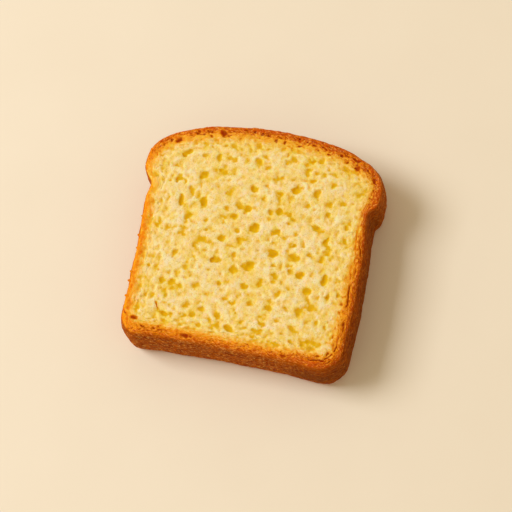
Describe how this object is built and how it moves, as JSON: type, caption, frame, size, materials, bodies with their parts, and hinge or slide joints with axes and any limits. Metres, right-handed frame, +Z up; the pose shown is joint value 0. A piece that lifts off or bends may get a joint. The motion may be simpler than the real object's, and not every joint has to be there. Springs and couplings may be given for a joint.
{
  "type": "slice of loaf bread",
  "caption": "Thick slice of yellow tin loaf bread lying flat, with an open bubbly crumb, a browned crust, a domed top and a notch under each shoulder.",
  "frame": {"origin": "under the middle of the slice's box, on the surface that it lies on", "axes": "+X across the slice along the loaf's width, +Y from the loaf's flat base to its domed top, +Z up through the slice's thickness"},
  "size_m": [0.1166, 0.1132, 0.028],
  "materials": {
    "bread": "matt, open yellow crumb with a browned crust round the edge"
  },
  "bodies": {
    "root": {"bread_slice": "bread"}
  },
  "joints": []
}
